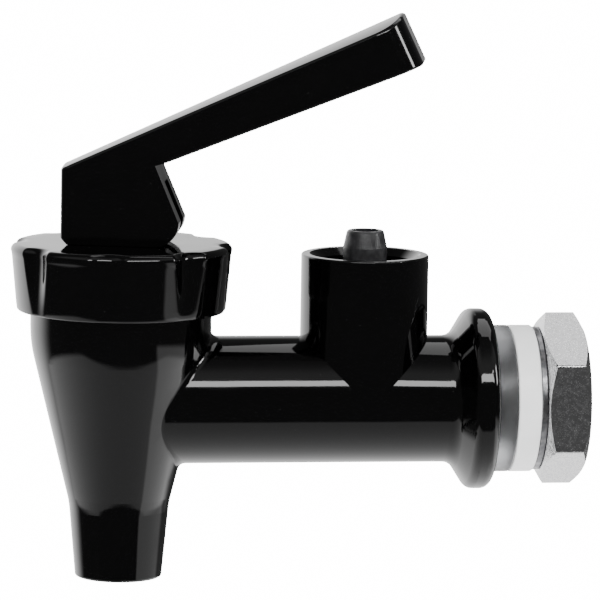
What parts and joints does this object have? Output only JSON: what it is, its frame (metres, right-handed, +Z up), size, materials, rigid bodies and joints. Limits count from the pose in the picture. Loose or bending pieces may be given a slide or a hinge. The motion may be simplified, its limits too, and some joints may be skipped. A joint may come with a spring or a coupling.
{
  "type": "push-lever dispenser faucet",
  "caption": "Lever-operated plastic beverage faucet with a screw bonnet, a sight-gauge socket and a threaded shank with sealing washers and nut.",
  "frame": {"origin": "centre of the flange's back face, on the shank axis, where the faucet meets the container's wall", "axes": "+X along the shank into the container, +Z up along the spout axis, -Y to the front side as the lever is stored"},
  "size_m": [0.126, 0.048, 0.1251],
  "materials": {
    "black_plastic": "polished moulded black",
    "silicone": "milky silicone",
    "dark_rubber": "dull dark grey",
    "clear_silicone": "translucent grey",
    "white_plastic": "satin white",
    "steel": "drawn stainless",
    "chrome": "bright plated",
    "stem_plastic": "natural acetal"
  },
  "bodies": {
    "faucet": {"body": "black_plastic", "bonnet": "black_plastic", "seat_cup": "silicone", "gauge_nipple": "dark_rubber", "shank_washer_clear": "clear_silicone", "shank_washer_white": "white_plastic", "flat_washer": "steel", "shank_nut": "chrome"},
    "swivel": {"stem_spring": "steel", "thrust_washer": "white_plastic"},
    "stem": {"stem": "stem_plastic", "lever_pin": "steel"},
    "lever": {"lever_handle": "black_plastic"}
  },
  "joints": [
    {"name": "handle_swivel", "type": "hinge", "parent": "faucet", "child": "swivel", "pos_m": [-0.0816, 0, 0.03], "axis": [0, 0, 1], "continuous": true},
    {"name": "stem_lift", "type": "slide", "parent": "swivel", "child": "stem", "axis": [0, 0, 1], "range_m": [0, 0.004], "stiffness_N_per_m": 350, "springref_m": -0.012, "deforming": ["stem_spring", "seat_cup"]},
    {"name": "handle_press", "type": "hinge", "parent": "stem", "child": "lever", "pos_m": [-0.0816, 0, 0.043], "axis": [0.1994, 0.9799, 0], "range_deg": [0, 28]}
  ],
  "couplings": [
    {"joint": "stem_lift", "follows": "handle_press", "m_per_rad": 0.008}
  ]
}
